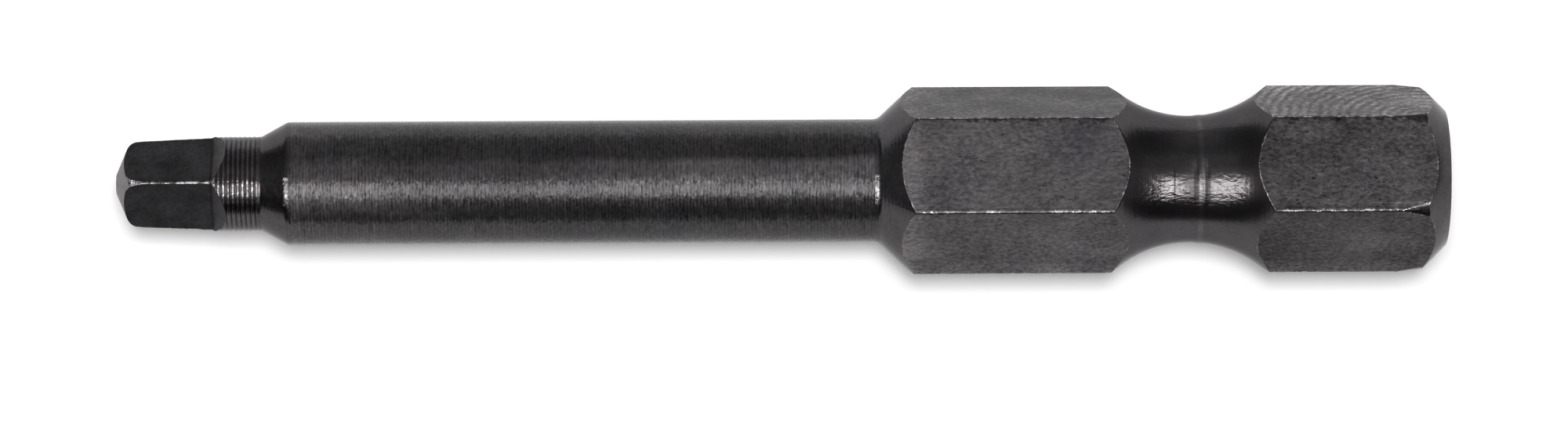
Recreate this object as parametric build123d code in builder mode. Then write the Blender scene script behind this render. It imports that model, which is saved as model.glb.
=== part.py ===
from build123d import *
from math import cos, radians, tan
import os

# A one-piece power bit for screws with a square recess: a hexagon shank with a retention
# groove, a slimmer round shank in front of it, and a short neck that carries the square point.
# It is hexagon bar, turned round one axis and then milled to a square at the point.
#
# Frame: the X axis is the turning axis. The origin is the middle of the shank's rear end face,
# +X points out of that face and the point lies towards -X. The bit lies on a hexagon flat, so
# one flat faces straight down. Lengths are in millimetres and angles in degrees.

# Whole bit, from the rear end face to the end of the point
overall_length = 50.8

# Hexagon shank, a quarter of an inch nominal
hex_across_flats = 6.33
hex_length = 20.36

# Rear end: a steep chamfer, with a slight lead-in on the hexagon's corners behind it
rear_chamfer = 0.90
rear_chamfer_angle = 45
lead_in_depth = 0.155
lead_in_angle = 7.5

# Retention groove, one round-bottomed turned channel
groove_to_rear_end = 9.81
groove_waist_diameter = 4.86
groove_profile_radius = 4.44

# Round shank and the shoulder that leads down to it from the hexagon
shank_diameter = 4.71
shoulder_angle = 43
shoulder_fillet = 0.45

# Neck, and the cone between it and the round shank
cone_to_tip = 6.54
cone_angle = 29.2
cone_edge_radius = 0.40
cone_fillet = 0.15
neck_diameter = 3.60

# Fine turned rings round the neck, with plain lands between them
ring_count = 9
ring_pitch = 0.183
ring_depth = 0.015
ring_nose_radius = 0.12
first_ring_to_tip = 3.89

# Square point: tapered flats, each with a ramp that runs out on the neck. The square's clocking
# is how far its topmost corner edge is turned from straight up towards -Y.
square_across_flats = 2.31
square_taper = 1.77
square_length = 3.69
square_clocking = 8
ramp_angle = 45
ramp_fillet = 0.15

# Turned end of the point, which also takes the sharp corners off the square
tip_flat_diameter = 0.78
tip_cone_angle = 66.8
tip_corner_diameter = 3.21
tip_corner_radius = 0.45
corner_crown = 0.015

# Extra material and cutter travel, so that no cut ends in the face that it starts from
allowance = 0.20

# Radii and stations along the axis, worked out from the sizes above
hex_corner_radius = hex_across_flats / 2 / cos(radians(30))
stock_radius = hex_corner_radius + allowance
shank_radius = shank_diameter / 2
neck_radius = neck_diameter / 2
tip_flat_radius = tip_flat_diameter / 2
tip_corner = tip_corner_diameter / 2
groove_waist_radius = groove_waist_diameter / 2
lead_in_radius = hex_corner_radius - lead_in_depth
rear_face_radius = lead_in_radius - rear_chamfer * tan(radians(rear_chamfer_angle))

tip_x = -overall_length
lead_in_x = -rear_chamfer - (stock_radius - lead_in_radius) / tan(radians(lead_in_angle))
shoulder_x = -hex_length + allowance / tan(radians(shoulder_angle))
shoulder_foot_x = -hex_length - (hex_corner_radius - shank_radius) / tan(radians(shoulder_angle))
cone_x = tip_x + cone_to_tip
cone_foot_x = cone_x - (shank_radius - neck_radius) / tan(radians(cone_angle))
square_foot_x = tip_x + square_length
corner_foot_x = square_foot_x - ramp_fillet
tip_corner_x = tip_x + (tip_corner - tip_flat_radius) / tan(radians(tip_cone_angle))
ring_middle_x = tip_x + first_ring_to_tip + ring_pitch * (ring_count - 1) / 2

with BuildPart() as drive_bit:
    # Half outline of the turned blank, with the distance from the axis along Y
    with BuildSketch(Plane.XY) as blank_outline:
        with BuildLine():
            back = Polyline(
                (tip_x, 0),
                (0, 0),
                (0, rear_face_radius),
                (-rear_chamfer, lead_in_radius),
                (lead_in_x, stock_radius),
                (shoulder_x, stock_radius),
                (shoulder_foot_x, shank_radius),
                (cone_x, shank_radius),
                (cone_foot_x, neck_radius),
                (corner_foot_x, neck_radius),
            )
            corner_line = SagittaArc(back @ 1, (tip_corner_x, tip_corner), -corner_crown)
            Polyline(corner_line @ 1, (tip_x, tip_flat_radius), (tip_x, 0))
        make_face()

        # Roundings that the turning tool leaves between the stretches
        corners = blank_outline.vertices()
        fillet(corners.sort_by_distance((shoulder_foot_x, shank_radius))[0], shoulder_fillet)
        fillet(corners.sort_by_distance((cone_x, shank_radius))[0], cone_edge_radius)
        fillet(corners.sort_by_distance((cone_foot_x, neck_radius))[0], cone_fillet)
        fillet(corners.sort_by_distance((tip_corner_x, tip_corner))[0], tip_corner_radius)

        # Retention groove
        with Locations((-groove_to_rear_end, groove_waist_radius + groove_profile_radius)):
            Circle(groove_profile_radius, mode=Mode.SUBTRACT)

        # Rings round the neck
        with Locations((ring_middle_x, neck_radius + ring_nose_radius - ring_depth)):
            with GridLocations(ring_pitch, 0, ring_count, 1):
                Circle(ring_nose_radius, mode=Mode.SUBTRACT)
    revolve(axis=Axis.X)

    # The six flats of the bar, which the shank keeps and the slimmer stretches lie inside
    with BuildSketch(Plane.YZ.offset(allowance)):
        RegularPolygon(hex_across_flats / 2, 6, major_radius=False)
    extrude(amount=-overall_length - 2 * allowance, mode=Mode.INTERSECT)

    # The four flats of the point, each cut by one pass with a ramp at its end
    taper_rise = tan(radians(square_taper))
    entry_height = square_across_flats / 2 - allowance * taper_rise
    foot_height = square_across_flats / 2 + square_length * taper_rise
    clear_height = neck_radius + allowance
    ramp_length = (clear_height - foot_height) / tan(radians(ramp_angle))
    first_flat_angle = 45 + square_clocking
    for side in range(4):
        with BuildSketch(Plane.XY.rotated((first_flat_angle + 90 * side, 0, 0))) as flat_outline:
            with BuildLine():
                Polyline(
                    (tip_x - allowance, entry_height),
                    (square_foot_x, foot_height),
                    (square_foot_x + ramp_length, clear_height),
                    (tip_x - allowance, clear_height),
                    close=True,
                )
            make_face()
            ramp_corner = flat_outline.vertices().sort_by_distance((square_foot_x, foot_height))[0]
            fillet(ramp_corner, ramp_fillet)
        extrude(amount=neck_diameter, both=True, mode=Mode.SUBTRACT)

drive_bit.part.label = "drive_bit"

os.makedirs("parts", exist_ok=True)
export_step(drive_bit.part, "parts/drive_bit.step")
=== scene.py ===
from math import acos, atan2, copysign, cos, pi, radians, sin, sqrt, tan

import bmesh
import bpy
from mathutils import Matrix, Vector


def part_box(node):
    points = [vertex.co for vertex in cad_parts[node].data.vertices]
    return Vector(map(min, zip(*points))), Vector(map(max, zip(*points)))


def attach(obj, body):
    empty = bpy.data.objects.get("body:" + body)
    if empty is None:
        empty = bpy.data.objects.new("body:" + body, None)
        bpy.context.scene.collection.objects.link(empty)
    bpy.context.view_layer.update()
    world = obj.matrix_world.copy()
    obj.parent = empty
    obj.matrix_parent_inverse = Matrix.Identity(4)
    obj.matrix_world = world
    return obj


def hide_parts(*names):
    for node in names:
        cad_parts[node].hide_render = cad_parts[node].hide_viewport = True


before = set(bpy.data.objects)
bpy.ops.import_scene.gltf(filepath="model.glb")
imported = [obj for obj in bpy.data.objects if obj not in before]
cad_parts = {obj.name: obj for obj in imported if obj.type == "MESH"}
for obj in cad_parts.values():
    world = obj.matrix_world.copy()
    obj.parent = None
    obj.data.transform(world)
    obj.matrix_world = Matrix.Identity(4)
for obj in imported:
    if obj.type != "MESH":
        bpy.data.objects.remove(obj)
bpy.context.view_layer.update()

# Turned blank: the bit is one piece of tool steel, cut from hexagon bar and turned round the X axis.
# The outline holds the lathe's work, from the rear face to the blunt end of the point. It is spun
# round the axis in columns, and each row of points in it stays a row round the bit.
MM = 0.001
low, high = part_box("drive_bit")
bit_length = high.x - low.x
flat_height = (high.z - low.z) / 2
corner_reach = (high.y - low.y) / 2

rear_face_radius = 2.60 * MM
rear_chamfer_angle = radians(45)
lead_in_radius = 3.50 * MM
lead_in_angle = radians(7.5)
groove_to_rear = 9.81 * MM
groove_waist_radius = 2.43 * MM
groove_profile_radius = 4.44 * MM
groove_steps = 40
ridge_to_rear = 9.47 * MM
ridge_half_width = 0.25 * MM
ridge_rise = 0.020 * MM
ridge_steps = 10
hex_length = 20.36 * MM
shank_radius = 2.355 * MM
shoulder_angle = radians(43)
shoulder_fillet = 0.45 * MM
cone_to_tip = 6.54 * MM
cone_angle = radians(29.2)
cone_edge_radius = 0.40 * MM
cone_fillet = 0.15 * MM
neck_radius = 1.80 * MM
ring_count = 9
ring_pitch = 0.183 * MM
ring_depth = 0.015 * MM
ring_nose_radius = 0.12 * MM
ring_steps = 6
first_ring_to_tip = 3.89 * MM
square_length = 3.69 * MM
ramp_fillet = 0.15 * MM
land_steps = 8
land_crown = 0.015 * MM
tip_corner_radius = 1.605 * MM
tip_rounding = 0.45 * MM
tip_cone_angle = radians(66.8)
tip_flat_radius = 0.39 * MM
columns = 180

tip_x = -bit_length
groove_height = groove_waist_radius + groove_profile_radius
shoulder_foot_x = -hex_length - (corner_reach - shank_radius) / tan(shoulder_angle)
cone_x = tip_x + cone_to_tip
cone_foot_x = cone_x - (shank_radius - neck_radius) / tan(cone_angle)
square_foot_x = tip_x + square_length
land_start_x = square_foot_x - ramp_fillet
tip_corner_x = tip_x + (tip_corner_radius - tip_flat_radius) / tan(tip_cone_angle)
land_slope = atan2(neck_radius - tip_corner_radius, land_start_x - tip_corner_x)


def hexagon_outline(reach):
    """Outline of the hexagon shank where the bar reaches out this far from the axis."""
    lead_in = min(reach, lead_in_radius)
    lead_in_x = (rear_face_radius - lead_in) / tan(rear_chamfer_angle)
    points = [(0, 0), (0, rear_face_radius), (lead_in_x, lead_in),
              (lead_in_x - (reach - lead_in) / tan(lead_in_angle), reach)]
    groove_turn = acos((groove_height - reach) / groove_profile_radius)
    ridge_turn = (groove_to_rear - ridge_to_rear) / groove_profile_radius
    ridge_start = ridge_turn + ridge_half_width / groove_profile_radius
    ridge_end = ridge_turn - ridge_half_width / groove_profile_radius
    stretches = ((groove_turn, ridge_start, groove_steps // 2), (ridge_start, ridge_end, ridge_steps),
                 (ridge_end, -groove_turn, groove_steps // 2))
    turns = [groove_turn]
    for from_turn, to_turn, steps in stretches:
        turns += [from_turn + (to_turn - from_turn) * (step + 1) / steps for step in range(steps)]
    for turn in turns:
        from_ridge = min(1, abs(turn - ridge_turn) * groove_profile_radius / ridge_half_width)
        cut = groove_profile_radius - ridge_rise * (1 + cos(pi * from_ridge)) / 2
        points.append((cut * sin(turn) - groove_to_rear, groove_height - cut * cos(turn)))
    points.append((shoulder_foot_x + (reach - shank_radius) / tan(shoulder_angle), reach))
    return points


def round_off(x, radius, rounding, heading, new_heading):
    """Arc that rounds off a corner of the outline, where its slope towards the point changes."""
    steps = 8
    side = copysign(rounding, new_heading - heading)
    back = rounding * tan(abs(new_heading - heading) / 2)
    arc = []
    for step in range(steps + 1):
        turned = heading + (new_heading - heading) * step / steps
        arc.append((x + back * cos(heading) + side * (sin(heading) - sin(turned)),
                    radius - back * sin(heading) + side * (cos(heading) - cos(turned))))
    return arc


outline = hexagon_outline(corner_reach)
hexagon_rows = len(outline)
outline += round_off(shoulder_foot_x, shank_radius, shoulder_fillet, -shoulder_angle, 0)
outline += round_off(cone_x, shank_radius, cone_edge_radius, 0, -cone_angle)
outline += round_off(cone_foot_x, neck_radius, cone_fillet, -cone_angle, 0)
ring_turn = acos(1 - ring_depth / ring_nose_radius)
for ring in reversed(range(ring_count)):
    ring_x = tip_x + first_ring_to_tip + ring * ring_pitch
    for step in range(ring_steps + 1):
        turn = ring_turn * (1 - 2 * step / ring_steps)
        outline.append((ring_x + ring_nose_radius * sin(turn),
                        neck_radius - ring_depth + ring_nose_radius * (1 - cos(turn))))
for step in range(land_steps - 1):
    share = step / land_steps
    crown = 4 * land_crown * share * (1 - share)
    outline.append((land_start_x + share * (tip_corner_x - land_start_x),
                    neck_radius + share * (tip_corner_radius - neck_radius) + crown))
outline += round_off(tip_corner_x, tip_corner_radius, tip_rounding, -land_slope, -tip_cone_angle)
outline += [(tip_x, tip_flat_radius), (tip_x, 0)]

blank = bmesh.new()
row_mark = blank.verts.layers.int.new("row")
wear_and_glint = blank.faces.layers.float.new("wear_and_glint")
previous = None
for row, (x, radius) in enumerate(outline):
    point = blank.verts.new((x, 0, radius))
    point[row_mark] = row
    if previous:
        blank.edges.new((previous, point))
    previous = point
bmesh.ops.spin(blank, geom=blank.verts[:] + blank.edges[:], cent=(0, 0, 0), axis=(1, 0, 0),
               angle=2 * pi, steps=columns, use_merge=True)

# Flats of the bar: in each direction the turned rows end where they meet the flat, so the end of
# every flat is the curve that the lathe leaves on a hexagon.
flat_turn = pi / 3
merge_distance = 0.0005 * MM
column_outlines = {}
for point in blank.verts:
    if point[row_mark] < hexagon_rows:
        angle = atan2(point.co.y, point.co.z)
        column = round(angle * columns / (2 * pi))
        if column not in column_outlines:
            from_flat = (angle + flat_turn / 2) % flat_turn - flat_turn / 2
            column_outlines[column] = hexagon_outline(flat_height / cos(from_flat))
        x, radius = column_outlines[column][point[row_mark]]
        point.co = (x, radius * sin(angle), radius * cos(angle))
bmesh.ops.remove_doubles(blank, verts=blank.verts[:], dist=merge_distance)
bmesh.ops.recalc_face_normals(blank, faces=blank.faces[:])

# Broken edges: the bar's long edges came rounded from the drawing die, and tumbling took the
# sharpness off the turned ones. The black finish has worn through on them, which each face's
# wear_and_glint value says: 0 is whole, 1 is worn, and more is rubbed bright. Part of it is a painted
# glint: on the long edges bare steel goes only on the part of each rounding within 33 degrees of the
# flat before it, going round from the top towards the front, which on the top flat's front edge is
# where the softboxes glint. It is stronger on the back edges, and on turned edges where they face up.
long_edge_rounding = 0.12 * MM
long_edge_steps = 5
least_long_edge = 1.0 * MM
least_long_turn = radians(55)
turned_edge_rounding = 0.07 * MM
turned_edge_turn = radians(40)
turned_edge_steps = 3
least_turned_turn = radians(20)
hexagon_front_x = -hex_length - 1.0 * MM
worn_glint_side = radians(33)
facing_up = 0.6
front_edge_wear_and_glint = 0.85
back_edge_wear_and_glint = 1.3
upper_edge_wear_and_glint = 0.85
side_edge_wear = 0.3


def break_edges(edges, rounding, turn, steps):
    """Faces of a rounding along edges where the surface turns by this angle."""
    return bmesh.ops.bevel(blank, geom=edges, offset=rounding * tan(turn / 2), segments=steps,
                           profile=0.5, affect="EDGES", material=-1)["faces"]


def out_of_flat(place):
    """Direction straight out of the hexagon flat that is nearest to a place."""
    turn = round(atan2(place.y, place.z) / flat_turn) * flat_turn
    return Vector((sin(turn), cos(turn)))


long_edges = [edge for edge in blank.edges if edge.calc_face_angle(0) > least_long_turn
              and abs(edge.verts[0].co.x - edge.verts[1].co.x) > least_long_edge]
for face in break_edges(long_edges, long_edge_rounding, flat_turn, long_edge_steps):
    if atan2(-face.normal.y, face.normal.z) % flat_turn < worn_glint_side:
        face[wear_and_glint] = front_edge_wear_and_glint if face.normal.y < 0 else back_edge_wear_and_glint
turned_edges = [edge for edge in blank.edges if edge.calc_face_angle(0) > least_turned_turn
                and edge.verts[0].co.x > hexagon_front_x]
for face in break_edges(turned_edges, turned_edge_rounding, turned_edge_turn, turned_edge_steps):
    face[wear_and_glint] = upper_edge_wear_and_glint if face.normal.z > facing_up else side_edge_wear

# What the rounding pushed out is brought back to the bar's rounded corners and onto its flats.
rounded_reach = (flat_height - long_edge_rounding) / cos(flat_turn / 2) + long_edge_rounding
for point in blank.verts:
    if point.co.yz.length > rounded_reach:
        point.co.yz = point.co.yz * rounded_reach / point.co.yz.length
    out = out_of_flat(point.co)
    point.co.yz -= out * max(0, point.co.yz.dot(out) - flat_height)

# The topmost corner of the point is worn down at its end.
square_clocking = radians(8)
worn_tip_length = 1.0 * MM
worn_tip_depth = 0.05 * MM
worn_tip_spread = radians(10)
tip_core_radius = 1.0 * MM
for point in blank.verts:
    from_top_corner = abs(atan2(point.co.y, point.co.z) + square_clocking)
    on_corner = point.co.yz.length > tip_core_radius and from_top_corner < worn_tip_spread
    if on_corner and point.co.x < tip_x + worn_tip_length:
        point.co.yz = point.co.yz * (1 - worn_tip_depth / point.co.yz.length)

# Finish of each face, and the worn places on the turned ones. Two of them are painted light, not
# wear: the bare steel on the cone's edge and on the shoulder's foot lies only in the narrow turn where
# the softboxes' highlight falls, a painted glint, and the patch on the upper back corner of the lead-in
# is a painted sheen on a facet that would show dark. Each worn place has its start and end along the
# bit, its start and end as angles from straight up towards the back, and its wear.
TURNED, FLAT, GROOVE, TIP = range(4)
flat_tolerance = 0.004 * MM
groove_tolerance = 0.01 * MM
facing_forward = -0.5
all_round = (-pi, pi)
painted_glint_turns = (radians(-31.5), radians(-4))
painted_sheen_turns = (radians(25.2), radians(37.2))
wear_and_glint_places = (
    (tip_x, tip_x + 0.47 * MM, all_round, 0.3),
    (tip_x + 0.47 * MM, tip_x + 0.80 * MM, all_round, 6),
    (tip_x + 0.80 * MM, tip_x + 1.5 * MM, all_round, 0.4),
    (tip_x + 1.5 * MM, land_start_x, all_round, 1),
    (cone_x - 0.10 * MM, cone_x + 0.10 * MM, painted_glint_turns, 0.6),
    (shoulder_foot_x - 0.15 * MM, shoulder_foot_x + 0.05 * MM, painted_glint_turns, 0.6),
    (-2.4 * MM, -0.95 * MM, painted_sheen_turns, 0.4),
)
for face in blank.faces:
    middle = face.calc_center_median()
    turn = atan2(middle.y, middle.z)
    under_flat = flat_height - middle.yz.dot(out_of_flat(middle))
    from_groove_centre = Vector((middle.x + groove_to_rear, middle.yz.length - groove_height)).length
    if abs(under_flat) < flat_tolerance and middle.x > hexagon_front_x:
        face.material_index = FLAT
    elif from_groove_centre < groove_profile_radius + groove_tolerance:
        face.material_index = GROOVE
    elif middle.x < tip_corner_x and face.normal.x < facing_forward:
        face.material_index = TIP
    else:
        face.material_index = TURNED
        for start_x, end_x, (start_turn, end_turn), wear in wear_and_glint_places:
            if start_x < middle.x <= end_x and start_turn <= turn <= end_turn:
                face[wear_and_glint] = wear
bit = bpy.data.objects.new("drive_bit_steel", bpy.data.meshes.new("drive_bit_steel"))
blank.to_mesh(bit.data)
blank.free()
bpy.context.scene.collection.objects.link(bit)

# Square point, milled on the turned end: four slightly tapered flats, each with a ramp where the
# cutter left the neck. The blank is cut to one square form that holds all four and their corners.
square_across_flats = 2.31 * MM
square_taper = radians(1.77)
square_corner_rounding = 0.08 * MM
ramp_angle = radians(45)
ramp_rise = 3.0 * MM
cutter_travel = 1.0 * MM
foot_height = square_across_flats / 2 + square_length * tan(square_taper)
entry_height = square_across_flats / 2 - cutter_travel * tan(square_taper)
ramp_top = foot_height + ramp_rise
sections = [(cutter_travel, ramp_top), (square_foot_x + ramp_rise / tan(ramp_angle), ramp_top)]
sections += round_off(square_foot_x, foot_height, ramp_fillet, -ramp_angle, -square_taper)
sections.append((tip_x - cutter_travel, entry_height))

square = bmesh.new()
across_the_bit = Matrix(((0, 0, 1), (1, 0, 0), (0, 1, 0)))
bmesh.ops.create_circle(square, radius=foot_height * sqrt(2), segments=4)
bmesh.ops.bevel(square, geom=square.verts[:], offset=square_corner_rounding, segments=4, profile=0.5,
                affect="VERTICES", material=-1)
bmesh.ops.rotate(square, verts=square.verts[:], matrix=across_the_bit)
bmesh.ops.rotate(square, verts=square.verts[:], matrix=Matrix.Rotation(square_clocking, 3, "X"))
rim = square.verts[:]
rim_edges = square.edges[:]
last_x, last_height = 0, foot_height
for x, height in sections:
    if x != sections[0][0]:
        section = bmesh.ops.extrude_edge_only(square, edges=rim_edges)["geom"]
        rim = [part for part in section if isinstance(part, bmesh.types.BMVert)]
        rim_edges = [part for part in section if isinstance(part, bmesh.types.BMEdge)]
    bmesh.ops.scale(square, vec=(1, height / last_height, height / last_height), verts=rim)
    bmesh.ops.translate(square, vec=(x - last_x, 0, 0), verts=rim)
    last_x, last_height = x, height
bmesh.ops.holes_fill(square, edges=[edge for edge in square.edges if edge.is_boundary], sides=0)
bmesh.ops.recalc_face_normals(square, faces=square.faces[:])
square_form = bpy.data.objects.new("square_form", bpy.data.meshes.new("square_form"))
square.to_mesh(square_form.data)
square.free()
bpy.context.scene.collection.objects.link(square_form)


# Black oxide finish: a thin film grown on the steel in a hot bath, so it follows every tool mark.
# It is cloudy rather than even, and rubs off to bare steel on the edges and high spots. Each
# effect of it is a group, and the five finishes of the bit below differ in what they mix.
def add_node(tree, kind, inputs=None, **settings):
    """Adds a node to a tree with its settings and its inputs, which are values or other sockets."""
    node = tree.nodes.new(kind)
    for name, value in settings.items():
        setattr(node, name, value)
    for socket, value in (inputs or {}).items():
        if isinstance(value, bpy.types.NodeSocket):
            tree.links.new(value, node.inputs[socket])
        else:
            node.inputs[socket].default_value = value
    return node


def combine(tree, operation, first, second=0.0):
    """Result of a Math node."""
    return add_node(tree, "ShaderNodeMath", {0: first, 1: second}, operation=operation).outputs[0]


def multiply(tree, *factors):
    """Product of sockets and values."""
    product = factors[0]
    for factor in factors[1:]:
        product = combine(tree, "MULTIPLY", product, factor)
    return product


def add_up(tree, *parts):
    """Sum of sockets and values."""
    total = parts[0]
    for part in parts[1:]:
        total = combine(tree, "ADD", total, part)
    return total


def toned(tree, shade, mask, change):
    """A shade made lighter or darker by this share of itself where the mask is 1."""
    return multiply(tree, shade, add_up(tree, multiply(tree, mask, change), 1.0))


def remap(tree, value, low_end, high_end, to_low=0.0, to_high=1.0, smooth=False):
    """A value moved from one range into another and held there."""
    ends = {"Value": value, 1: low_end, 2: high_end, 3: to_low, 4: to_high}
    return add_node(tree, "ShaderNodeMapRange", ends,
                    interpolation_type="SMOOTHSTEP" if smooth else "LINEAR").outputs[0]


def away_from(tree, value, place):
    """How far a coordinate is from a place on its axis."""
    return combine(tree, "ABSOLUTE", combine(tree, "SUBTRACT", value, place))


def axes(tree, position):
    """The three coordinates of a position."""
    return add_node(tree, "ShaderNodeSeparateXYZ", {0: position}).outputs


def stretched(tree, position, scale):
    """A position scaled along each axis, which draws out the pattern that is read there."""
    return add_node(tree, "ShaderNodeVectorMath", {0: position, 1: scale}, operation="MULTIPLY").outputs[0]


def distance_from(tree, position, centre):
    """How far a position is from a point."""
    points = {0: position, 1: centre}
    return add_node(tree, "ShaderNodeVectorMath", points, operation="DISTANCE").outputs["Value"]


def noise(tree, position, scale, detail=2.0, roughness=0.6):
    """Value of a Noise texture."""
    return add_node(tree, "ShaderNodeTexNoise", {"Vector": position, "Scale": scale, "Detail": detail,
                                                 "Roughness": roughness}).outputs[0]


def swing(tree, pattern, depth=1.0):
    """A noise pattern moved so that it swings this far to either side of 0."""
    return remap(tree, pattern, 0.25, 0.75, -depth, depth)


def effect_group(name, inputs, outputs):
    """A shader node group with its sockets, and what is wired to them."""
    tree = bpy.data.node_groups.new(name, "ShaderNodeTree")
    for socket, value in inputs.items():
        kind = "Vector" if value is None or isinstance(value, tuple) else "Float"
        made = tree.interface.new_socket(socket, in_out="INPUT", socket_type=f"NodeSocket{kind}")
        if value is not None:
            made.default_value = value
    for socket in outputs:
        tree.interface.new_socket(socket, in_out="OUTPUT", socket_type="NodeSocketFloat")
    return tree, tree.nodes.new("NodeGroupInput").outputs, tree.nodes.new("NodeGroupOutput")


mask_fade = 0.10

# The film itself: cloudy and grained, with patches that lean to blue.
tree, given, result = effect_group(
    "oxide_film", {"Position": None, "Clouds per Metre": 500.0, "Cloud Depth": 0.2,
                   "Grains per Metre": 6000.0, "Grain Depth": 0.2}, ["Shade", "Grain", "Tint"])
cloud = noise(tree, given["Position"], given["Clouds per Metre"], 3.0)
grain = noise(tree, given["Position"], given["Grains per Metre"])
clouded = multiply(tree, swing(tree, cloud), given["Cloud Depth"])
grained = multiply(tree, swing(tree, grain), given["Grain Depth"])
patches = noise(tree, given["Position"], multiply(tree, given["Clouds per Metre"], 0.7))
tree.links.new(add_up(tree, clouded, 1.0, grained), result.inputs["Shade"])
tree.links.new(grain, result.inputs["Grain"])
tree.links.new(remap(tree, patches, 0.50, 0.75), result.inputs["Tint"])

# Marks of a tool: noise drawn out along the bit or round it.
tree, given, result = effect_group(
    "tool_marks", {"Position": None, "Marks per Metre": (10000.0, 1000.0, 1000.0)}, ["Height"])
drawn_out = stretched(tree, given["Position"], given["Marks per Metre"])
tree.links.new(noise(tree, drawn_out, 1.0, 2.0, 0.55), result.inputs["Height"])

# Feed lines: the fine thread that a turning tool leaves, with a little wander.
tree, given, result = effect_group(
    "feed_lines", {"Position": None, "Pitch": 0.001, "Wander": 0.0}, ["Height"])
along = axes(tree, given["Position"])[0]
wobble = combine(tree, "SUBTRACT", noise(tree, given["Position"], 700.0), 0.5)
drift = multiply(tree, wobble, given["Wander"])
turns = combine(tree, "DIVIDE", add_up(tree, along, drift), given["Pitch"])
tree.links.new(combine(tree, "SINE", multiply(tree, turns, 2 * pi)), result.inputs["Height"])

# Pits in clusters, with sound film between them.
tree, given, result = effect_group(
    "pits", {"Position": None, "Pits per Metre": (5000.0, 12000.0, 12000.0),
             "Clusters per Metre": 700.0, "Scarcity": 0.5}, ["Depth"])
drawn_out = stretched(tree, given["Position"], given["Pits per Metre"])
pit = remap(tree, noise(tree, drawn_out, 1.0, 1.0, 0.5), 0.60, 0.60 + mask_fade, smooth=True)
cluster = noise(tree, given["Position"], given["Clusters per Metre"], 3.0)
crowded = remap(tree, cluster, given["Scarcity"], add_up(tree, given["Scarcity"], mask_fade),
                smooth=True)
tree.links.new(multiply(tree, pit, crowded), result.inputs["Depth"])

# Worn edges: bare in spots where an edge is marked as worn or as a painted glint, with gaps in them,
# and small dents.
tree, given, result = effect_group(
    "edge_wear_and_glint", {"Position": None, "Edge": 0.0, "Wear": 0.5}, ["Bare", "Dents"])
rubbing_and_highlight = noise(tree, given["Position"], 5500.0, 3.0, 0.7)
threshold = combine(tree, "SUBTRACT", 1.0, given["Wear"])
bare = remap(tree, rubbing_and_highlight, threshold, add_up(tree, threshold, mask_fade), 0.08, 1.0, smooth=True)
gaps = remap(tree, noise(tree, given["Position"], 1500.0), 0.42, 0.56, 0.15, 1.0)
dented = combine(tree, "MINIMUM", given["Edge"], 1.0)
tree.links.new(multiply(tree, bare, gaps, given["Edge"]), result.inputs["Bare"])
tree.links.new(multiply(tree, rubbing_and_highlight, dented), result.inputs["Dents"])


def place_effect(tree, name, inputs):
    """Places an effect group in a material."""
    return add_node(tree, "ShaderNodeGroup", inputs, node_tree=bpy.data.node_groups[name]).outputs


def marks_of(tree, position, per_metre):
    """Height of a tool's marks, so many to a metre along, across and up."""
    return place_effect(tree, "tool_marks", {"Position": position, "Marks per Metre": per_metre})[0]


def steel(name):
    """A metal material that still needs its colour, and the position and worn edges for it."""
    material = bpy.data.materials.new(name)
    material.use_nodes = True
    tree = material.node_tree
    inputs = tree.nodes["Principled BSDF"].inputs
    inputs["Metallic"].default_value = 1
    position = add_node(tree, "ShaderNodeTexCoord").outputs["Object"]
    edge = add_node(tree, "ShaderNodeAttribute", attribute_name="wear_and_glint").outputs["Fac"]
    return material, tree, inputs, position, edge


def steel_colour(tree, tone, shade, tint, bare):
    """Colour of the oxide film, between brown and blue, and of bare steel where the film is gone."""
    brown = (1.04 * tone, 0.965 * tone, 0.99 * tone, 1)
    blue = (0.98 * tone, 0.93 * tone, 1.03 * tone, 1)
    bare_steel = (0.46, 0.45, 0.44, 1)
    oxide = add_node(tree, "ShaderNodeMix", {0: tint, 6: brown, 7: blue}, data_type="RGBA").outputs[2]
    grey = add_node(tree, "ShaderNodeCombineColor", {0: shade, 1: shade, 2: shade}).outputs[0]
    film = add_node(tree, "ShaderNodeMix", {0: 1.0, 6: oxide, 7: grey}, data_type="RGBA",
                    blend_type="MULTIPLY").outputs[2]
    return add_node(tree, "ShaderNodeMix", {0: bare, 6: film, 7: bare_steel}, data_type="RGBA").outputs[2]


def mix(tree, share, first, second):
    """A value between two others, which is the second one where the share is 1."""
    return add_node(tree, "ShaderNodeMix", {0: share, 2: first, 3: second}, data_type="FLOAT").outputs[0]


def bump(tree, height, depth):
    """Normal of a surface with this relief."""
    return add_node(tree, "ShaderNodeBump", {"Height": height, "Distance": depth}).outputs[0]


# Turned surfaces: the round shank, the shoulder, the cone, the neck and the rear end. A fine feed
# left circular lines close together, which scatter the light along the bit. A pair of places says
# where an effect sets in and where it is full, here and in the other finishes.
shank_front = (cone_x + 0.05 * MM, cone_x + 0.25 * MM)
shank_back = (shoulder_foot_x + 0.1 * MM, shoulder_foot_x - 0.2 * MM)
rings_front = (land_start_x, land_start_x + 0.05 * MM)
rings_back = (tip_x + 5.45 * MM, tip_x + 5.40 * MM)
ring_crests = (neck_radius - 0.012 * MM, neck_radius - 0.002 * MM)
highlight_band_line = -0.48 * MM
highlight_band_reach = (0.44 * MM, 0.28 * MM)
crest_glint_strength = 0.75
chamfer_front_x = -0.95 * MM
chamfer_rim = (0.8 * MM, 2.6 * MM)
feed_pitch = 0.13 * MM
feed_wander = 0.10 * MM
turned_relief = 0.030 * MM
turned_tone = 0.058

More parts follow.
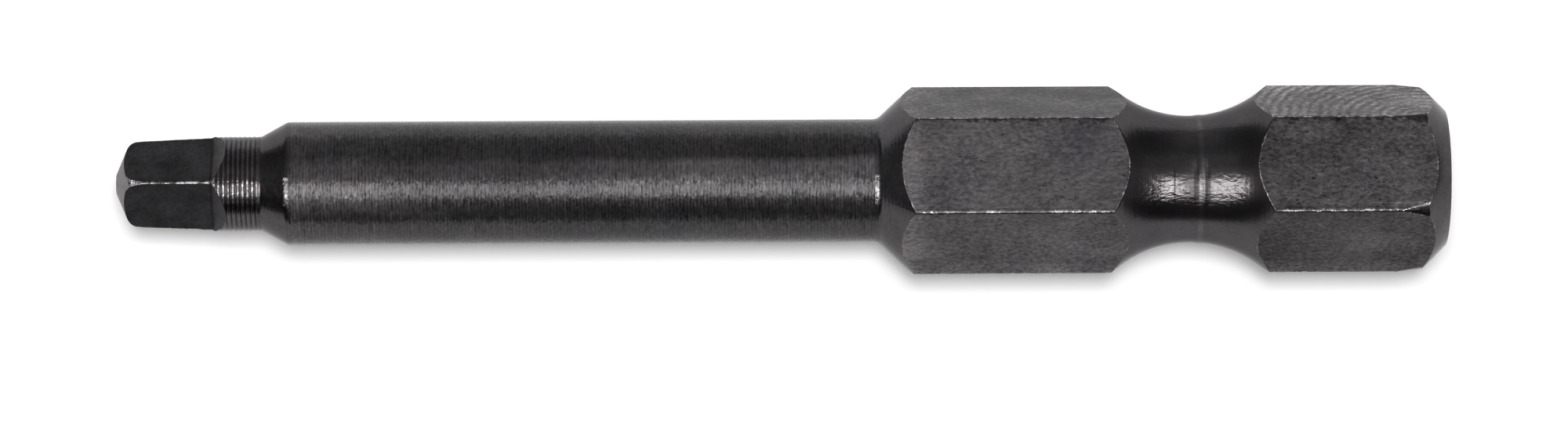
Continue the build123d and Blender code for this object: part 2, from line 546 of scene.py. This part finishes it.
turned, tree, inputs, position, edge = steel("turned_black_steel")
inputs["Specular Tint"].default_value = (0.75, 0.75, 0.75, 1)
along, across, upward = axes(tree, position)
on_upper_side = combine(tree, "GREATER_THAN", upward, 0.0)
on_shank = multiply(tree, remap(tree, along, *shank_front), remap(tree, along, *shank_back))
on_rings = multiply(tree, remap(tree, along, *rings_front), remap(tree, along, *rings_back))
off_axis = add_node(tree, "ShaderNodeCombineXYZ", {1: across, 2: upward}).outputs[0]
radius = add_node(tree, "ShaderNodeVectorMath", {0: off_axis}, operation="LENGTH").outputs["Value"]
crest = remap(tree, radius, *ring_crests)

film = place_effect(tree, "oxide_film", {
    "Position": position, "Clouds per Metre": 500.0, "Cloud Depth": 0.22,
    "Grains per Metre": 7000.0, "Grain Depth": 0.20})
feed = place_effect(tree, "feed_lines", {
    "Position": position, "Pitch": feed_pitch, "Wander": feed_wander})[0]
specks = place_effect(tree, "pits", {
    "Position": position, "Pits per Metre": (7000.0, 9000.0, 9000.0),
    "Clusters per Metre": 1500.0, "Scarcity": 0.62})[0]
lines = marks_of(tree, position, (8500.0, 900.0, 900.0))
dashes = marks_of(tree, position, (10000.0, 3800.0, 3800.0))

# The ring crests turn bare steel only in a band on the upper front of the neck, where the softboxes'
# highlight falls: a painted glint.
highlight_band = remap(tree, away_from(tree, across, highlight_band_line), *highlight_band_reach)
crest_glints = multiply(tree, crest, on_rings, highlight_band, on_upper_side, crest_glint_strength)
worn_or_glinting = combine(tree, "MAXIMUM", edge, crest_glints)
bare, dents = place_effect(tree, "edge_wear_and_glint", {"Position": position, "Wear": 0.54, "Edge": worn_or_glinting})
marks = add_up(tree, multiply(tree, lines, 0.9), multiply(tree, dashes, 0.6), multiply(tree, feed, 0.22))
marks = multiply(tree, marks, remap(tree, on_shank, 0.0, 1.0, 0.05, 1.0))
relief = add_up(tree, multiply(tree, dents, 1.3), marks)
tree.links.new(bump(tree, relief, turned_relief), inputs["Normal"])

# The shank's film is thinner in front. Long bands of painted highlight and shade lie along it where
# the softboxes' reflections fall: the highlight streak is dimmed, most in the middle, a painted sheen
# lies above it, and low down at the front end the streak is painted wider. Each band has its line
# across the bit, its reach to either side of that line, and how it changes the tone.
thinned_part = (-44.5 * MM, -40.0 * MM)
dim_streak_middle_x = -35.9 * MM
dim_streak_reach = (1.5 * MM, 5.0 * MM)
top_sheen_part = (-34.5 * MM, -27.0 * MM)
low_sheen_part = (-40.0 * MM, -36.0 * MM)
sheen_wander = 0.6 * MM
wobble = combine(tree, "SUBTRACT", noise(tree, position, 300.0), 0.5)
wavy = add_up(tree, across, multiply(tree, wobble, sheen_wander))
painted_streak_dimming = remap(tree, away_from(tree, along, dim_streak_middle_x), *dim_streak_reach, -0.28, -0.05)
painted_top_sheen = remap(tree, along, *top_sheen_part, 0.45, 1.7)
painted_low_sheen = remap(tree, along, *low_sheen_part, 1.0, 0.0)
shank_tone_and_sheen = remap(tree, along, *thinned_part, 1.0, 0.74)
painted_sheen_bands = ((-0.78 * MM, (0.60 * MM, 0.35 * MM), painted_streak_dimming),
         (0.07 * MM, (0.55 * MM, 0.25 * MM), painted_top_sheen),
         (-1.22 * MM, (0.40 * MM, 0.15 * MM), painted_low_sheen))
for line, sheen_reach, change in painted_sheen_bands:
    sheen_band = multiply(tree, remap(tree, away_from(tree, wavy, line), *sheen_reach), on_upper_side)
    shank_tone_and_sheen = toned(tree, shank_tone_and_sheen, sheen_band, change)

streaks = add_up(tree, swing(tree, lines, 0.22), swing(tree, dashes, 0.42), multiply(tree, feed, 0.15))
# Painted highlight and shade on the neck's rings: the crests are lighter and the hollows darker, standing
# in for the light that their slopes catch.
painted_ring_shade = remap(tree, crest, 0.0, 1.0, -0.50, 0.35)
on_chamfer = combine(tree, "GREATER_THAN", along, chamfer_front_x)
# The rear chamfer is painted lighter towards its front and back edges: a painted sheen.
painted_rim_sheen = remap(tree, combine(tree, "ABSOLUTE", across), *chamfer_rim, 0.08, 0.38)
shade = multiply(tree, film["Shade"], mix(tree, on_shank, 1.15, shank_tone_and_sheen))
changes = ((on_shank, streaks), (specks, -0.6), (on_rings, painted_ring_shade), (on_chamfer, painted_rim_sheen))
for mask, change in changes:
    shade = toned(tree, shade, mask, change)
tree.links.new(steel_colour(tree, turned_tone, shade, film["Tint"], bare), inputs["Base Color"])
tree.links.new(remap(tree, on_shank, 0.0, 1.0, 1.0, 0.65), inputs["Metallic"])
tree.links.new(remap(tree, film["Grain"], 0.3, 0.7, 0.17, 0.25), inputs["Roughness"])

# Flats of the bar: drawn through a die, which left faint marks along the bit, small pits in
# clusters and a mottled film. Handling has rubbed the film thin near the corners and the ends.
top_height = flat_height - 0.01 * MM
back_edge_y = 1.73 * MM
back_flat_y = 1.90 * MM
painted_dim_rear = (-14.0 * MM, -7.0 * MM)
rear_end = (-9.0 * MM, -7.0 * MM)
front_edge = (-1.65 * MM, -1.75 * MM)
front_border = (-0.9 * MM, -1.7 * MM)
side_corner = (0.70 * MM, 0.05 * MM)
back_top_corner = (2.85 * MM, 3.05 * MM)
shoulder_end = (-19.8 * MM, -20.6 * MM)
nick_reach = (0.09 * MM, 0.03 * MM)
blued_centre = (-14.1 * MM, 0.9 * MM, flat_height)
blued_wander = 1.2 * MM
blued_reach = (2.2 * MM, 1.0 * MM)
drawn_relief = 0.010 * MM
drawn_tone = 0.085

flats, tree, inputs, position, edge = steel("drawn_black_steel")
inputs["Metallic"].default_value = 0.9
along, across, upward = axes(tree, position)
on_top = combine(tree, "GREATER_THAN", upward, top_height)
on_back = combine(tree, "GREATER_THAN", across, back_flat_y)
on_upper_side = combine(tree, "GREATER_THAN", upward, 0.0)
on_rear_end = remap(tree, along, *rear_end)

drawn_out = stretched(tree, position, (0.7, 1, 1))
film = place_effect(tree, "oxide_film", {
    "Position": drawn_out, "Clouds per Metre": 600.0, "Cloud Depth": 0.30,
    "Grains per Metre": 9000.0, "Grain Depth": 0.46})
drawn = marks_of(tree, position, (2500.0, 6000.0, 6000.0))
scarcity = remap(tree, on_rear_end, 0.0, 1.0, 0.54, 0.45)
pitting = place_effect(tree, "pits", {"Position": position, "Scarcity": scarcity})[0]
near_edge = multiply(tree, remap(tree, across, *front_edge, 0.0, 0.6, smooth=True), on_top)
worn_or_glinting = combine(tree, "MAXIMUM", edge, near_edge)
bare, dents = place_effect(tree, "edge_wear_and_glint", {"Position": position, "Wear": 0.50, "Edge": worn_or_glinting})
relief = add_up(tree, multiply(tree, drawn, 0.6), film["Grain"], multiply(tree, pitting, -1.0),
                multiply(tree, dents, 4.0))
tree.links.new(bump(tree, relief, drawn_relief), inputs["Normal"])

# The flat at the back of the rear end was dressed on a face mill, which left its arcs.
arc_centre = (-1.14 * MM, 1.84 * MM, 3.14 * MM)
arc_pitch = 0.38 * MM
arc_wander = 0.36 * MM
dressed_front = (-7.6 * MM, -7.0 * MM)
dressed = multiply(tree, on_back, remap(tree, along, *dressed_front), on_upper_side)
wavy = add_up(tree, distance_from(tree, position, arc_centre),
              multiply(tree, noise(tree, position, 1100.0), arc_wander))
broken_up = remap(tree, noise(tree, position, 1700.0), 0.36, 0.56, 0.15, 1.0)
arcs = combine(tree, "SINE", multiply(tree, wavy, 2 * pi / arc_pitch))
arcs = add_up(tree, multiply(tree, arcs, broken_up), 0.8)

# Mottling and wear of the film, and painted shade: each mask has how it changes the shade where it
# is 1. The rear half of the flats is painted darker, as the light falls off towards the rear end, and
# the side flats are painted darker than the top flat, as they catch less light.
blued = add_up(tree, distance_from(tree, position, blued_centre),
               multiply(tree, noise(tree, position, 900.0), blued_wander))
blued = remap(tree, blued, *blued_reach)
nicks = multiply(tree, remap(tree, noise(tree, position, 3200.0), 0.51, 0.58),
                 remap(tree, away_from(tree, across, back_edge_y), *nick_reach))
contrast = add_up(tree, remap(tree, on_top, 0.0, 1.0, 1.5, 1.0), multiply(tree, on_back, 0.8),
                  multiply(tree, on_top, on_rear_end, 0.35))
painted_side_shade = add_up(tree, remap(tree, on_top, 0.0, 1.0, 0.86, 0.94), multiply(tree, on_back, 0.04))
mottle = remap(tree, noise(tree, drawn_out, 220.0), 0.30, 0.70, 0.76, 1.24)
lined = remap(tree, drawn, 0.3, 0.7, 0.84, 1.16)
shade = multiply(tree, combine(tree, "POWER", film["Shade"], contrast), painted_side_shade, mottle, lined)
changes = ((remap(tree, combine(tree, "ABSOLUTE", upward), *side_corner), 0.45),
           (multiply(tree, remap(tree, upward, *back_top_corner), on_back), 0.6),
           (multiply(tree, remap(tree, across, *front_border), on_top), 0.12),
           (remap(tree, along, *shoulder_end), 0.6),
           (remap(tree, along, *painted_dim_rear), -0.12),
           (dressed, arcs), (pitting, -0.68), (nicks, -0.65), (blued, -0.20))
for mask, change in changes:
    shade = toned(tree, shade, mask, change)
tint = combine(tree, "MAXIMUM", multiply(tree, film["Tint"], 0.6), blued)
tree.links.new(steel_colour(tree, drawn_tone, shade, tint, bare), inputs["Base Color"])
tree.links.new(remap(tree, film["Grain"], 0.3, 0.7, 0.40, 0.50), inputs["Roughness"])

# Retention groove: cut by a form tool and rubbed smooth, with a little chatter in ripples that run
# along the bit. The low ridge in it has a light polished line on top, and a fine scratch runs round the
# groove in front of the ridge. Where the softboxes' highlight lies on the groove it is painted
# brighter, with the ridge's top as a painted highlight, its flanks as painted shade and the scratch dark.
chattered_side = (-0.10 * MM, -0.85 * MM)
chatter_front = (-1.60 * MM, -1.25 * MM)
chatter_reach = (2.3 * MM, 1.6 * MM)
ridge_top = (0.09 * MM, 0.13 * MM)
ridge_foot = (0.28 * MM, 0.36 * MM)
scratch_x = -10.52 * MM
scratch_reach = (0.02 * MM, 0.045 * MM)
groove_highlight_line = -0.70 * MM
groove_highlight_reach = (0.75 * MM, 0.45 * MM)
plain_ridge = (0.05 * MM, 0.13 * MM)
groove_relief = 0.028 * MM
groove_tone = 0.068

groove, tree, inputs, position, edge = steel("burnished_groove_steel")
inputs["Roughness"].default_value = 0.22
inputs["Specular Tint"].default_value = (0.6, 0.6, 0.6, 1)
along, across = axes(tree, position)[:2]
film = place_effect(tree, "oxide_film", {
    "Position": position, "Clouds per Metre": 600.0, "Cloud Depth": 0.20,
    "Grains per Metre": 7000.0, "Grain Depth": 0.14})
ripples = marks_of(tree, position, (3000.0, 7500.0, 7500.0))
rings = marks_of(tree, position, (9000.0, 350.0, 350.0))
bare, dents = place_effect(tree, "edge_wear_and_glint", {"Position": position, "Edge": edge, "Wear": 0.48})
from_waist = away_from(tree, along, -groove_to_rear)
chattered = multiply(tree, remap(tree, across, *chattered_side, 0.18, 1.0),
                     remap(tree, across, *chatter_front),
                     remap(tree, from_waist, *chatter_reach, 0.1, 1.0))
ripples = multiply(tree, ripples, remap(tree, chattered, 0.0, 1.0, 0.06, 1.0))
relief = add_up(tree, ripples, multiply(tree, rings, 0.15), multiply(tree, dents, 1.4))
tree.links.new(bump(tree, relief, groove_relief), inputs["Normal"])

# Painted highlight and shade, used only in the band where the softboxes' highlight lies on the groove.
from_ridge = away_from(tree, along, -ridge_to_rear)
painted_ridge_shade = add_up(tree, remap(tree, from_ridge, *ridge_top, 1.4, 0.4),
                     remap(tree, from_ridge, *ridge_foot, 0.0, 0.6))
scratch_and_highlight = remap(tree, away_from(tree, along, scratch_x), *scratch_reach, 0.50, 1.42)
painted_highlight_shade = multiply(tree, painted_ridge_shade, scratch_and_highlight)
plain_shade = remap(tree, from_ridge, *plain_ridge, 1.35, 1.0)
rubbing_and_highlight = remap(tree, away_from(tree, across, groove_highlight_line), *groove_highlight_reach)
shade = multiply(tree, film["Shade"], mix(tree, rubbing_and_highlight, plain_shade, painted_highlight_shade))
tree.links.new(steel_colour(tree, groove_tone, shade, film["Tint"], bare), inputs["Base Color"])

# Milled flats of the square: the cutter's fine satin under a bluer film, with a dark seam where
# each ramp starts. The corners between them are smooth and rubbed through in beads.
ramp_start = (-0.02 * MM, 0.08 * MM)
seam_reach = (0.02 * MM, 0.08 * MM)
painted_shade_span = (-0.4 * MM, 0.1 * MM)
beads_start = (tip_x + 1.3 * MM, tip_x + 1.6 * MM)
satin_relief = 0.004 * MM
milled_tone = 0.038

milled, tree, inputs, position, edge = steel("milled_black_steel")
along, across = axes(tree, position)[:2]
film = place_effect(tree, "oxide_film", {
    "Position": position, "Clouds per Metre": 1100.0, "Cloud Depth": 0.40,
    "Grains per Metre": 7000.0, "Grain Depth": 0.30})
beaded = multiply(tree, edge, remap(tree, along, *beads_start, 0.35, 1.0))
bare = place_effect(tree, "edge_wear_and_glint", {"Position": position, "Wear": 0.55, "Edge": beaded})[0]
tree.links.new(bump(tree, film["Grain"], satin_relief), inputs["Normal"])
from_foot = combine(tree, "SUBTRACT", along, square_foot_x)
on_ramp = remap(tree, from_foot, *ramp_start, 1.0, 1.4)
seam = remap(tree, combine(tree, "ABSOLUTE", from_foot), *seam_reach, 0.45, 1.0)
# Painted shade: the square's front flat is darker and its back flat lighter, as they catch the light
# unevenly.
painted_side_shade = remap(tree, across, *painted_shade_span, 0.80, 1.08)
shade = multiply(tree, film["Shade"], on_ramp, seam, painted_side_shade)
tint = combine(tree, "MAXIMUM", film["Tint"], 0.8)
tree.links.new(steel_colour(tree, milled_tone, shade, tint, bare), inputs["Base Color"])
tree.links.new(remap(tree, edge, 0.0, 1.0, 0.50, 0.30), inputs["Roughness"])

# Blunt end of the point: faced on the lathe across the end of the square. Its colour is paler than
# the rest, a painted reflection of the white table that it faces.
faced_tone_and_table_sheen = 0.215
faced, tree, inputs, position, edge = steel("faced_black_steel")
inputs["Metallic"].default_value = 0.3
inputs["Roughness"].default_value = 0.60
film = place_effect(tree, "oxide_film", {
    "Position": position, "Clouds per Metre": 900.0, "Cloud Depth": 0.16,
    "Grains per Metre": 7000.0, "Grain Depth": 0.14})
tree.links.new(bump(tree, film["Grain"], satin_relief), inputs["Normal"])
tree.links.new(steel_colour(tree, faced_tone_and_table_sheen, film["Shade"], 0.0, 0.0), inputs["Base Color"])

# Finished bit: the blank is cut to the square form, which leaves its own finish on the flats of the
# point, and the result takes the CAD solid's place. The corners of the square are marked as worn.
sharp_angle = radians(24)
square_turn = pi / 2
flat_margin = radians(3)
for material in (turned, flats, groove, faced):
    bit.data.materials.append(material)
square_form.data.materials.append(milled)
cut = bit.modifiers.new("square_point", "BOOLEAN")
cut.object = square_form
cut.operation = "INTERSECT"
cut.solver = "EXACT"
cut.material_mode = "TRANSFER"
bit.data = bpy.data.meshes.new_from_object(bit.evaluated_get(bpy.context.evaluated_depsgraph_get()))
bit.modifiers.clear()
bpy.data.objects.remove(square_form)

MILLED = bit.data.materials.find(milled.name)
finished = bmesh.new()
finished.from_mesh(bit.data)
wear_and_glint = finished.faces.layers.float["wear_and_glint"]
for edge in finished.edges:
    edge.smooth = edge.calc_face_angle(0) < sharp_angle
for face in finished.faces:
    face.smooth = True
    past_flat = (atan2(face.normal.y, face.normal.z) + square_clocking + square_turn / 2) % square_turn
    if face.material_index == MILLED and flat_margin < past_flat < square_turn - flat_margin:
        face[wear_and_glint] = 1
finished.to_mesh(bit.data)
finished.free()
even_flats = bit.modifiers.new("even_flats", "WEIGHTED_NORMAL")
even_flats.keep_sharp = True
bit.data = bpy.data.meshes.new_from_object(bit.evaluated_get(bpy.context.evaluated_depsgraph_get()))
bit.modifiers.clear()

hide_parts("drive_bit")
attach(bit, "root")

# Table top: a plain white sheet that the bit lies on. It glows a little to the camera and in the
# steel's reflections, so that it looks white without more light on the bit.
floor_half = 3.0
paper_colour = (0.8, 0.8, 0.8, 1)
paper_glow = 0.3
floor_mesh = bmesh.new()
bmesh.ops.create_grid(floor_mesh, x_segments=1, y_segments=1, size=floor_half)
floor = bpy.data.objects.new("floor", bpy.data.meshes.new("floor"))
floor_mesh.to_mesh(floor.data)
floor_mesh.free()
floor.data.transform(Matrix.Translation((0, 0, low.z)))
bpy.context.scene.collection.objects.link(floor)
table = bpy.data.materials.new("white_table")
table.use_nodes = True
tree = table.node_tree
tree.nodes.clear()
paper = add_node(tree, "ShaderNodeBsdfDiffuse", {"Color": paper_colour}).outputs[0]
ray = add_node(tree, "ShaderNodeLightPath").outputs
seen = combine(tree, "MAXIMUM", ray["Is Camera Ray"], ray["Is Glossy Ray"])
seen = combine(tree, "MAXIMUM", seen, ray["Is Transmission Ray"])
glow = add_node(tree, "ShaderNodeEmission", {"Strength": multiply(tree, seen, paper_glow)}).outputs[0]
sheet = add_node(tree, "ShaderNodeAddShader", {0: paper, 1: glow}).outputs[0]
add_node(tree, "ShaderNodeOutputMaterial", {"Surface": sheet})
floor.data.materials.append(table)


# Studio light: level softboxes over the table, brightest towards the front, in a dim room. The
# small key lamp right above lights the table and dull surfaces, and steel mirrors only the others.
def softbox(name, left, right, near, far, height, radiance, shape="RECTANGLE"):
    """A softbox between these angles, in degrees from straight above the middle of the bit."""
    left, right, near, far = (tan(radians(side)) for side in (left, right, near, far))
    lamp_data = bpy.data.lights.new(name, "AREA")
    lamp_data.shape = shape
    lamp_data.size = height * (right - left)
    lamp_data.size_y = height * (near - far)
    filled = pi / 4 if shape == "ELLIPSE" else 1
    lamp_data.energy = radiance * pi * lamp_data.size * lamp_data.size_y * filled
    lamp = bpy.data.objects.new(name, lamp_data)
    lamp.location = (-bit_length / 2 + height * (left + right) / 2, -height * (near + far) / 2, height)
    lamp.visible_camera = False
    bpy.context.scene.collection.objects.link(lamp)
    return lamp


reflected = [softbox("softbox_left", -49, -6, 37, 12, 0.50, 4.9, "ELLIPSE"),
             softbox("softbox_right", 17, 41, 37, 12, 0.50, 6.2, "ELLIPSE"),
             softbox("softbox_middle", -46, 43, 40, 8, 0.505, 1.9),
             softbox("softbox_front", -40, -3.4, 57, 38, 0.507, 0.9),
             softbox("softbox_back", -1.2, 6, 8, -24, 0.507, 0.9),
             softbox("ceiling", -40, 56, 46, -36, 0.51, 0.14)]
for lamp in reflected:
    lamp.visible_diffuse = False
softbox("key", -7, 7, 10, -4, 0.60, 43).visible_glossy = False

# Dim room round the table: its walls are lighter at the back and low down, and dark in the corners.
front_wall = 0.045
back_wall = 0.28
low_wall_gain = 1.6
corner_gain = 0.3
world = bpy.data.worlds.new("studio")
bpy.context.scene.world = world
world.use_nodes = True
tree = world.node_tree
direction = add_node(tree, "ShaderNodeTexCoord").outputs["Generated"]
sideways, towards_back, up = axes(tree, direction)
diagonal = combine(tree, "ABSOLUTE", multiply(tree, sideways, towards_back))
room = multiply(tree, remap(tree, towards_back, -1.0, 1.0, front_wall, back_wall),
                remap(tree, up, 0.05, 0.80, low_wall_gain, 1.0, smooth=True),
                remap(tree, diagonal, 0.18, 0.45, 1.0, corner_gain))
tree.links.new(room, tree.nodes["Background"].inputs["Strength"])
tree.nodes["Background"].inputs["Color"].default_value = (1, 1, 1, 1)

# Camera: almost straight over the bit and a little in front of it, with a long lens, as the
# photograph was taken.
sensor_width = 36
focal_length = 160.8
view_distance = 268 * MM
elevation = radians(80.3)
azimuth = radians(1.0)
roll = radians(-0.3)
aim_x = -25.318 * MM
aim_drop = 1.449 * MM
aim = Vector((aim_x, -aim_drop * sin(elevation), -aim_drop * cos(elevation)))
back = Vector((-sin(azimuth), -cos(elevation) * cos(azimuth), sin(elevation) * cos(azimuth)))
right = (Vector((1, 0, 0)) - back * back.x).normalized()
camera_data = bpy.data.cameras.new("camera")
camera_data.sensor_width = sensor_width
camera_data.lens = focal_length
camera_data.clip_start = 0.01
camera_data.clip_end = 100
camera = bpy.data.objects.new("camera", camera_data)
camera.matrix_world = (Matrix.Translation(aim + back * view_distance)
                       @ Matrix((right, back.cross(right), back)).transposed().to_4x4()
                       @ Matrix.Rotation(roll, 4, "Z"))
bpy.context.scene.collection.objects.link(camera)
bpy.context.scene.camera = camera
bpy.context.scene.view_settings.view_transform = "Standard"
